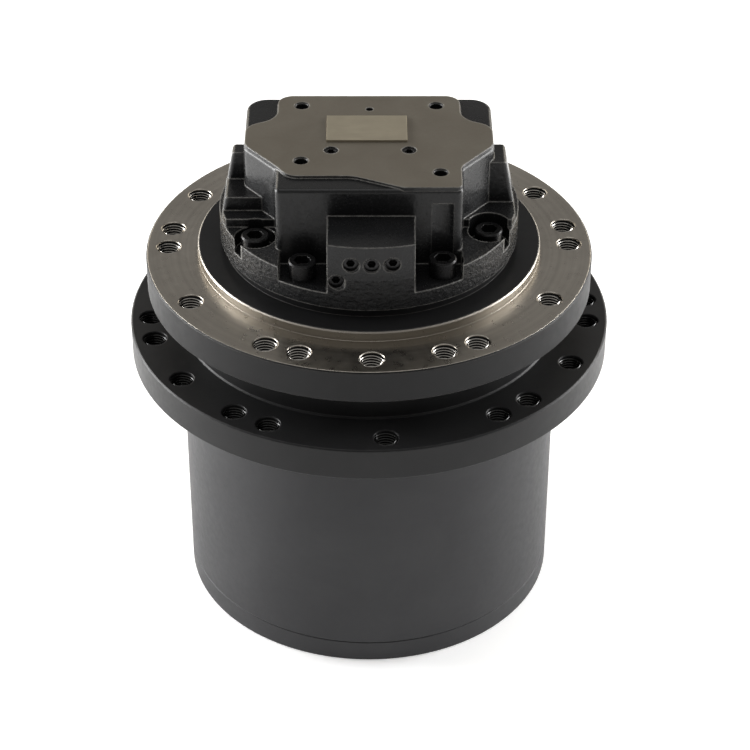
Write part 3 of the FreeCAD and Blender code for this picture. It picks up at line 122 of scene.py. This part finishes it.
def settle(piece, name, body, material):
    """Name the piece, put its place into its mesh, shade it, and tie it to its body."""
    start()
    piece.select_set(True)
    bpy.context.view_layer.objects.active = piece
    bpy.ops.object.transform_apply(location=True, rotation=True, scale=True)
    bpy.ops.object.shade_smooth_by_angle(angle=SMOOTH_ANGLE)
    piece.name = name
    piece.data.materials.clear()
    piece.data.materials.append(material)
    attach(piece, body)
    return piece


# ---------------------------------------------------------------- node helpers
def wire(tree, source, target):
    tree.links.new(source, target)


def maths(tree, operation, a, b=None, clamp=False):
    made = tree.nodes.new("ShaderNodeMath")
    made.operation = operation
    made.use_clamp = clamp
    for socket, value in zip(made.inputs, (a, b)):
        if value is None:
            continue
        if isinstance(value, (int, float)):
            socket.default_value = value
        else:
            tree.links.new(value, socket)
    return made.outputs[0]


def spread(tree, value, low, high, to_low=0.0, to_high=1.0):
    """The value, mapped from low..high to to_low..to_high and clamped."""
    made = tree.nodes.new("ShaderNodeMapRange")
    tree.links.new(value, made.inputs[0])
    for socket, number in zip(list(made.inputs)[1:5], (low, high, to_low, to_high)):
        socket.default_value = number
    return made.outputs[0]


def blend_colour(tree, mask, a, b):
    made = tree.nodes.new("ShaderNodeMix")
    made.data_type = "RGBA"
    sockets = [s for s in made.inputs if s.enabled]
    tree.links.new(mask, sockets[0])
    for socket, colour in zip(sockets[1:], (a, b)):
        if isinstance(colour, tuple):
            socket.default_value = (*colour, 1.0)
        else:
            tree.links.new(colour, socket)
    return [s for s in made.outputs if s.enabled][0]


def new_group(name, inputs, outputs):
    group = bpy.data.node_groups.new(name, "ShaderNodeTree")
    for label, value in inputs:
        socket = group.interface.new_socket(label, in_out="INPUT", socket_type="NodeSocketFloat")
        socket.default_value = value
    for label in outputs:
        group.interface.new_socket(label, in_out="OUTPUT", socket_type="NodeSocketFloat")
    return group, group.nodes.new("NodeGroupInput"), group.nodes.new("NodeGroupOutput")


def use_group(tree, group, **values):
    made = tree.nodes.new("ShaderNodeGroup")
    made.node_tree = group
    for name, value in values.items():
        made.inputs[name.replace("_", " ").title()].default_value = value
    return made


def object_point(tree):
    return tree.nodes.new("ShaderNodeTexCoord").outputs["Object"]


def noise(tree, point, scale, detail=3.0, roughness=0.55, distortion=0.0):
    made = tree.nodes.new("ShaderNodeTexNoise")
    tree.links.new(point, made.inputs["Vector"])
    if isinstance(scale, (int, float)):
        made.inputs["Scale"].default_value = scale
    else:
        tree.links.new(scale, made.inputs["Scale"])
    made.inputs["Detail"].default_value = detail
    made.inputs["Roughness"].default_value = roughness
    made.inputs["Distortion"].default_value = distortion
    return made.outputs["Fac"]


# ---------------------------------------------------------------- shared surface effects
def make_edge_wear():
    """Mask of the edges of a shape, broken up by noise."""
    sockets = [("Radius", 0.001), ("Break Up", 0.5), ("Scale", 400.0)]
    tree, given, out = new_group("edge_wear", sockets, ["Mask"])
    rounded = tree.nodes.new("ShaderNodeBevel")
    rounded.samples = BEVEL_SAMPLES
    wire(tree, given.outputs["Radius"], rounded.inputs["Radius"])
    surface = tree.nodes.new("ShaderNodeNewGeometry")
    turn = tree.nodes.new("ShaderNodeVectorMath")
    turn.operation = "DOT_PRODUCT"
    wire(tree, rounded.outputs[0], turn.inputs[0])
    wire(tree, surface.outputs["Normal"], turn.inputs[1])
    edge = spread(tree, turn.outputs["Value"], 0.995, 0.86)
    patches = noise(tree, object_point(tree), given.outputs["Scale"], detail=4)
    patches = spread(tree, patches, 0.35, 0.65)
    kept = maths(tree, "MULTIPLY", patches, given.outputs["Break Up"])
    kept = maths(tree, "SUBTRACT", 1.0, kept)
    wire(tree, maths(tree, "MULTIPLY", edge, kept, clamp=True), out.inputs["Mask"])
    return tree


def make_mottle():
    """Slow cloudy change over a surface, for handling marks and uneven paint."""
    tree, given, out = new_group("mottle", [("Scale", 20.0)], ["Value", "Fine"])
    point = object_point(tree)
    slow = noise(tree, point, given.outputs["Scale"], 4, 0.6, 0.4)
    wire(tree, spread(tree, slow, 0.3, 0.7), out.inputs["Value"])
    fine = maths(tree, "MULTIPLY", given.outputs["Scale"], 14.0)
    wire(tree, spread(tree, noise(tree, point, fine, 3, 0.6), 0.3, 0.7), out.inputs["Fine"])
    return tree


def make_cast_skin():
    """Lumpy skin of a sand casting: coarse lumps with sand grain on them."""
    tree, given, out = new_group("cast_skin", [("Lumps", 330.0), ("Grain", 1300.0)], ["Height"])
    point = object_point(tree)
    lumps = noise(tree, point, given.outputs["Lumps"], 3, 0.55, 0.3)
    grain = noise(tree, point, given.outputs["Grain"], 2, 0.6)
    both = maths(tree, "MULTIPLY_ADD", grain, 0.35)
    wire(tree, lumps, both.node.inputs[2])
    wire(tree, both, out.inputs["Height"])
    return tree


def make_turned_lines():
    """Fine rings that a lathe tool leaves, round the axis on faces and on shoulders."""
    tree, given, out = new_group("turned_lines", [("Pitch", 0.0004)], ["Height", "Tone"])
    parts = tree.nodes.new("ShaderNodeSeparateXYZ")
    wire(tree, object_point(tree), parts.inputs[0])
    squared = maths(tree, "MULTIPLY", parts.outputs["X"], parts.outputs["X"])
    other = maths(tree, "MULTIPLY", parts.outputs["Y"], parts.outputs["Y"])
    radius = maths(tree, "SQRT", maths(tree, "ADD", squared, other))
    along = maths(tree, "ADD", radius, parts.outputs["Z"])
    count = maths(tree, "DIVIDE", along, given.outputs["Pitch"])
    for label, factor, detail in (("Height", 1.0, 2.0), ("Tone", 0.12, 3.0)):
        lines = tree.nodes.new("ShaderNodeTexNoise")
        lines.noise_dimensions = "1D"
        lines.inputs["Scale"].default_value = 1.0
        lines.inputs["Detail"].default_value = detail
        wire(tree, maths(tree, "MULTIPLY", count, factor), lines.inputs["W"])
        wire(tree, lines.outputs["Fac"], out.inputs[label])
    return tree


def make_axis_place():
    """Distance from the axis and height, for finishes that stop at a machined edge."""
    tree, given, out = new_group("axis_place", [], ["Radius", "Height"])
    parts = tree.nodes.new("ShaderNodeSeparateXYZ")
    wire(tree, object_point(tree), parts.inputs[0])
    squared = maths(tree, "MULTIPLY", parts.outputs["X"], parts.outputs["X"])
    other = maths(tree, "MULTIPLY", parts.outputs["Y"], parts.outputs["Y"])
    wire(tree, maths(tree, "SQRT", maths(tree, "ADD", squared, other)), out.inputs["Radius"])
    wire(tree, parts.outputs["Z"], out.inputs["Height"])
    return tree


EDGE_WEAR = make_edge_wear()
MOTTLE = make_mottle()
CAST_SKIN = make_cast_skin()
TURNED_LINES = make_turned_lines()
AXIS_PLACE = make_axis_place()


def new_finish(name):
    """An empty material with its shader: (material, node tree, shader)."""
    material = bpy.data.materials.new(name)
    material.use_nodes = True
    tree = material.node_tree
    tree.nodes.clear()
    shader = tree.nodes.new("ShaderNodeBsdfPrincipled")
    output = tree.nodes.new("ShaderNodeOutputMaterial")
    wire(tree, shader.outputs[0], output.inputs[0])
    return material, tree, shader


def raise_surface(tree, shader, height, distance, strength=1.0, rounding=0.0):
    """Bump from a height, with edges rounded over where rounding is above zero."""
    bump = tree.nodes.new("ShaderNodeBump")
    bump.inputs["Strength"].default_value = strength
    bump.inputs["Distance"].default_value = distance
    wire(tree, height, bump.inputs["Height"])
    if rounding:
        rounded = tree.nodes.new("ShaderNodeBevel")
        rounded.samples = BEVEL_SAMPLES
        rounded.inputs["Radius"].default_value = rounding
        wire(tree, rounded.outputs[0], bump.inputs["Normal"])
    wire(tree, bump.outputs[0], shader.inputs["Normal"])


# ---------------------------------------------------------------- finishes
def satin_black():
    """Satin black paint: matt and a little lighter on the drum, deeper and glossier on the flanges."""
    material, tree, shader = new_finish("satin_black_paint")
    place = use_group(tree, AXIS_PLACE)
    cloud = use_group(tree, MOTTLE, scale=16.0)
    wear = use_group(tree, EDGE_WEAR, radius=0.0007, break_up=0.7, scale=300.0)
    drum = maths(tree, "LESS_THAN", place.outputs["Height"], SPROCKET_Z - 0.2 * MM)
    deep = blend_colour(tree, cloud.outputs["Value"], (0.011, 0.011, 0.0115), (0.016, 0.016, 0.0165))
    plain = blend_colour(tree, cloud.outputs["Value"], (0.03, 0.03, 0.032), (0.038, 0.038, 0.04))
    tone = blend_colour(tree, drum, deep, plain)
    worn = maths(tree, "MULTIPLY", wear.outputs["Mask"], 0.4)
    wire(tree, blend_colour(tree, worn, tone, (0.2, 0.2, 0.205)), shader.inputs["Base Color"])
    sheen = spread(tree, cloud.outputs["Fine"], 0, 1, 0.36, 0.44)
    wire(tree, maths(tree, "ADD", sheen, maths(tree, "MULTIPLY", drum, 0.08)), shader.inputs["Roughness"])
    raise_surface(tree, shader, cloud.outputs["Fine"], 0.00004, 0.5, rounding=0.0008)
    shader.inputs["Specular IOR Level"].default_value = 0.22
    return material


def turned_steel():
    """Bare turned face of the frame flange; its rim, its underside and the pilot's top are painted."""
    material, tree, shader = new_finish("turned_flange_steel")
    place = use_group(tree, AXIS_PLACE)
    lines = use_group(tree, TURNED_LINES, pitch=0.00035)
    cloud = use_group(tree, MOTTLE, scale=11.0)
    wear = use_group(tree, EDGE_WEAR, radius=0.0008, break_up=0.4, scale=220.0)
    radius, height = place.outputs["Radius"], place.outputs["Height"]
    on_face = maths(tree, "GREATER_THAN", height, FRAME_TOP - 0.9 * MM)
    below_pilot = maths(tree, "LESS_THAN", height, PILOT_TOP - 0.3 * MM)
    within_rim = maths(tree, "LESS_THAN", radius, FLANGE_R - 0.9 * MM)
    bare = maths(tree, "MULTIPLY", on_face, maths(tree, "MULTIPLY", below_pilot, within_rim))
    steel = blend_colour(tree, lines.outputs["Tone"], (0.34, 0.315, 0.28), (0.52, 0.485, 0.43))
    dull = maths(tree, "MULTIPLY", cloud.outputs["Value"], 0.4)
    steel = blend_colour(tree, dull, steel, (0.27, 0.245, 0.21))
    paint = blend_colour(tree, cloud.outputs["Value"], (0.008, 0.008, 0.0085), (0.013, 0.013, 0.0135))
    paint = blend_colour(tree, maths(tree, "MULTIPLY", wear.outputs["Mask"], 0.45), paint, (0.25, 0.24, 0.23))
    wire(tree, blend_colour(tree, bare, paint, steel), shader.inputs["Base Color"])
    wire(tree, bare, shader.inputs["Metallic"])
    shine = spread(tree, cloud.outputs["Fine"], 0, 1, 0.26, 0.34)
    painted = maths(tree, "SUBTRACT", 1.0, bare)
    wire(tree, maths(tree, "ADD", shine, maths(tree, "MULTIPLY", painted, 0.1)), shader.inputs["Roughness"])
    grooves = maths(tree, "MULTIPLY", lines.outputs["Height"], bare)
    raise_surface(tree, shader, grooves, 0.00003, 0.6, rounding=0.0006)
    shader.inputs["Specular IOR Level"].default_value = 0.2
    shader.inputs["Anisotropic"].default_value = 0.7
    tangent = tree.nodes.new("ShaderNodeTangent")
    tangent.direction_type = "RADIAL"
    tangent.axis = "Z"
    wire(tree, tangent.outputs[0], shader.inputs["Tangent"])
    return material


def gloss_cast():
    """Gloss black paint on a casting: smooth walls, a sandy rim to its foot, and a machined pad whose brown
    colour is partly its own tone and partly a painted reflection of a warm backdrop.
    """
    material, tree, shader = new_finish("gloss_black_casting")
    place = use_group(tree, AXIS_PLACE)
    skin = use_group(tree, CAST_SKIN, lumps=330.0, grain=1500.0)
    cloud = use_group(tree, MOTTLE, scale=30.0)
    wear = use_group(tree, EDGE_WEAR, radius=0.0016, break_up=0.55, scale=240.0)
    on_pad = maths(tree, "GREATER_THAN", place.outputs["Height"], PAD_TOP - 0.25 * MM)
    on_foot = maths(tree, "LESS_THAN", place.outputs["Height"], FOOT_TOP + 1.5 * MM)
    outside = maths(tree, "GREATER_THAN", place.outputs["Radius"], FOOT_R - 6 * MM)
    sandy = maths(tree, "MULTIPLY", on_foot, outside)
    tone = blend_colour(tree, cloud.outputs["Value"], (0.007, 0.0075, 0.008), (0.012, 0.012, 0.0125))
    # Painted reflection: the pad's brown-grey colour stands partly for its own machined tone and partly for a
    # warm backdrop reflected in it.
    machined = blend_colour(tree, cloud.outputs["Value"], (0.092, 0.08, 0.062), (0.112, 0.1, 0.08))
    tone = blend_colour(tree, on_pad, tone, machined)
    worn = maths(tree, "MULTIPLY", wear.outputs["Mask"], 0.8)
    wire(tree, blend_colour(tree, worn, tone, (0.36, 0.35, 0.33)), shader.inputs["Base Color"])
    shine = spread(tree, cloud.outputs["Fine"], 0, 1, 0.2, 0.3)
    wire(tree, maths(tree, "ADD", shine, maths(tree, "MULTIPLY", on_pad, 0.14)), shader.inputs["Roughness"])
    rough_here = maths(tree, "ADD", 0.2, maths(tree, "MULTIPLY", sandy, 0.8))
    off_pad = maths(tree, "SUBTRACT", 1.0, maths(tree, "MULTIPLY", on_pad, 0.7))
    rough_here = maths(tree, "MULTIPLY", rough_here, off_pad)
    cast_height = maths(tree, "MULTIPLY", skin.outputs["Height"], rough_here)
    raise_surface(tree, shader, cast_height, 0.0009, 0.8, rounding=0.0014)
    shader.inputs["Specular IOR Level"].default_value = 0.3
    return material


def plain_metal(name, dark, light, metallic, rough, lines=0.0003, bump=0.00002):
    """Turned metal that varies from dark to light, with its edges a little brighter."""
    material, tree, shader = new_finish(name)
    rings = use_group(tree, TURNED_LINES, pitch=lines)
    cloud = use_group(tree, MOTTLE, scale=45.0)
    wear = use_group(tree, EDGE_WEAR, radius=0.0005, break_up=0.6, scale=500.0)
    mix = maths(tree, "MULTIPLY", cloud.outputs["Value"], rings.outputs["Tone"])
    tone = blend_colour(tree, mix, dark, light)
    bright = tuple(min(1.0, c * 1.6 + 0.05) for c in light)
    worn = maths(tree, "MULTIPLY", wear.outputs["Mask"], 0.6)
    wire(tree, blend_colour(tree, worn, tone, bright), shader.inputs["Base Color"])
    wire(tree, spread(tree, cloud.outputs["Fine"], 0, 1, *rough), shader.inputs["Roughness"])
    shader.inputs["Metallic"].default_value = metallic
    raise_surface(tree, shader, rings.outputs["Height"], bump, 0.5, rounding=0.0003)
    return material


def rubber():
    """Matt black rubber of the seals."""
    material, tree, shader = new_finish("seal_rubber_black")
    cloud = use_group(tree, MOTTLE, scale=60.0)
    tone = blend_colour(tree, cloud.outputs["Value"], (0.012, 0.012, 0.012), (0.03, 0.03, 0.029))
    wire(tree, tone, shader.inputs["Base Color"])
    wire(tree, spread(tree, cloud.outputs["Fine"], 0, 1, 0.5, 0.7), shader.inputs["Roughness"])
    raise_surface(tree, shader, cloud.outputs["Fine"], 0.00005, 0.6)
    return material


def brushed_plate():
    """Thin satin plate, brushed along X."""
    material, tree, shader = new_finish("brushed_plate_metal")
    stretch = tree.nodes.new("ShaderNodeMapping")
    stretch.inputs["Scale"].default_value = (60.0, 2600.0, 2600.0)
    wire(tree, object_point(tree), stretch.inputs["Vector"])
    hair = noise(tree, stretch.outputs[0], 1.0, 3, 0.6)
    cloud = use_group(tree, MOTTLE, scale=70.0)
    tone = blend_colour(tree, hair, (0.36, 0.32, 0.24), (0.5, 0.45, 0.35))
    tone = blend_colour(tree, maths(tree, "MULTIPLY", cloud.outputs["Value"], 0.3), tone, (0.3, 0.265, 0.2))
    wire(tree, tone, shader.inputs["Base Color"])
    wire(tree, spread(tree, hair, 0.3, 0.7, 0.34, 0.5), shader.inputs["Roughness"])
    shader.inputs["Metallic"].default_value = 0.85
    raise_surface(tree, shader, hair, 0.00002, 0.5, rounding=0.0003)
    return material


STEEL = turned_steel()
SATIN = satin_black()
CAST = gloss_cast()
OXIDE = plain_metal("black_oxide_steel", (0.012, 0.012, 0.013), (0.045, 0.044, 0.044), 0.7, (0.24, 0.36))
GROUND = plain_metal("ground_steel", (0.42, 0.42, 0.43), (0.66, 0.66, 0.67), 1.0, (0.16, 0.26))
GEAR = plain_metal("case_hardened_gear_steel", (0.2, 0.19, 0.185), (0.42, 0.4, 0.39), 1.0, (0.28, 0.4))
IRON = plain_metal("machined_cast_iron", (0.16, 0.155, 0.15), (0.33, 0.32, 0.31), 0.9, (0.35, 0.5),
                   bump=0.00006)
BRONZE = plain_metal("bearing_bronze", (0.36, 0.2, 0.075), (0.6, 0.37, 0.16), 1.0, (0.25, 0.38))
LINING = plain_metal("friction_lining_paper", (0.1, 0.07, 0.04), (0.2, 0.145, 0.09), 0.0, (0.6, 0.8))
ZINC = plain_metal("zinc_plated_plug", (0.38, 0.37, 0.33), (0.6, 0.59, 0.54), 1.0, (0.22, 0.34))
THREAD_STEEL = plain_metal("cut_thread_steel", (0.5, 0.48, 0.45), (0.8, 0.78, 0.74), 1.0, (0.18, 0.28))
THREAD_BLACK = plain_metal("black_cut_thread", (0.05, 0.05, 0.05), (0.13, 0.13, 0.13), 0.8, (0.2, 0.3))
PLATE = brushed_plate()
RUBBER = rubber()

FINISH_OF_SLOT = {
    "machined_steel": STEEL, "black_paint": SATIN, "gloss_black_cast": CAST, "black_oxide": OXIDE,
    "plate_metal": PLATE, "ground_steel": GROUND, "gear_steel": GEAR, "cast_iron": IRON, "bronze": BRONZE,
    "seal_rubber": RUBBER, "friction_lining": LINING, "zinc_plug": ZINC,
}
for part in frame["record"]["subparts"]:
    node = frame["nodes"][part["node"]]
    node.data.materials.clear()
    node.data.materials.append(FINISH_OF_SLOT[part["material_slot"]])


# ---------------------------------------------------------------- threads
def thread(radius, length, pitch, steps=24):
    """One turn of a V groove, screwed up a bore about the Z axis from z = 0."""
    start()
    bpy.ops.mesh.primitive_plane_add(size=pitch / math.sqrt(2), location=(0, 0, 0))
    piece = bpy.context.active_object
    select_vertices(piece, lambda v: v.co.x > 0 and v.co.y > 0)
    bpy.ops.mesh.delete(type="VERT")
    bpy.ops.object.mode_set(mode="OBJECT")
    piece.rotation_euler = (math.radians(90), math.radians(-45), 0)
    piece.location = (radius - pitch / 4, 0, pitch / 2)
    bpy.ops.object.transform_apply(location=True, rotation=True, scale=True)
    finish_modifier(piece, "SCREW", screw_offset=pitch, iterations=int(length / pitch), steps=steps,
                    render_steps=steps, angle=math.tau, axis="Z", use_normal_calculate=False)
    return piece


def thread_set(name, body, material, circle, angles, z):
    """The threads of every bolt hole of one flange, as one piece."""
    places = [around(circle, angle, z + THREAD_START) for angle in angles]
    piece = copies(thread(BOLT_R, THREAD_L, THREAD_PITCH), places)
    return settle(piece, name, body, material)


thread_set("frame_flange_threads", "frame_side", THREAD_STEEL, FRAME_BOLT_CIRCLE,
           [a + FRAME_BOLT_PHASE for a in FRAME_RINGS], FRAME_TOP - FLANGE_T)
thread_set("sprocket_flange_threads", "hub", THREAD_BLACK, SPROCKET_BOLT_CIRCLE,
           [a + SPROCKET_BOLT_PHASE for a in SPROCKET_RINGS], SPROCKET_Z)

# ---------------------------------------------------------------- camera, floor and light
# The camera looks down at the nose side from about 35 degrees above the floor.
camera = bpy.data.objects.new("studio_camera", bpy.data.cameras.new("studio_camera"))
bpy.context.scene.collection.objects.link(camera)
camera.location = (0, -1.341, 1.0962)
camera.rotation_euler = (math.radians(54.819), 0, 0)
camera.data.lens = 112.36
camera.data.sensor_width = 36.0
camera.data.shift_x = 0.008
bpy.context.scene.camera = camera

start()
bpy.ops.mesh.primitive_plane_add(size=14, location=(0, 0, 0))
floor = bpy.context.active_object
floor.name = "studio_floor"
floor_finish, _, floor_shader = new_finish("pale_floor")
floor_shader.inputs["Base Color"].default_value = (0.9, 0.9, 0.9, 1)
floor_shader.inputs["Roughness"].default_value = 0.8
floor_shader.inputs["Specular IOR Level"].default_value = 0.0
floor_shader.inputs["Emission Color"].default_value = (1, 1, 1, 1)
floor_shader.inputs["Emission Strength"].default_value = 0.4
floor.data.materials.append(floor_finish)


def softbox(name, place, target, size, power, colour=(1, 1, 1)):
    """A rectangular area light that faces its target."""
    data = bpy.data.lights.new(name, "AREA")
    data.shape = "RECTANGLE"
    data.size, data.size_y = size
    data.energy = power
    data.color = colour
    lamp = bpy.data.objects.new(name, data)
    bpy.context.scene.collection.objects.link(lamp)
    lamp.location = place
    lamp.rotation_euler = (Vector(target) - Vector(place)).to_track_quat("-Z", "Y").to_euler()


softbox("top_softbox", (0, 0.0, 2.4), (0, 0, 0.2), (1.6, 1.6), 10)
softbox("back_left_softbox", (-1.2, 1.7, 1.0), (0, 0, 0.25), (0.8, 1.1), 9, (1, 0.92, 0.78))
softbox("back_right_softbox", (1.2, 1.7, 1.0), (0, 0, 0.25), (0.8, 1.1), 9, (1, 0.92, 0.78))
softbox("left_strip", (-1.5, 0.35, 0.5), (0, 0, 0.2), (0.9, 1.0), 44)
softbox("right_strip", (1.5, 0.35, 0.5), (0, 0, 0.2), (0.9, 1.0), 33)

world = bpy.data.worlds.new("studio")
bpy.context.scene.world = world
world.use_nodes = True
sky = world.node_tree.nodes["Background"]
sky.inputs["Color"].default_value = (1.0, 0.98, 0.95, 1)
sky.inputs["Strength"].default_value = 0.3
bpy.context.scene.view_settings.view_transform = "Standard"
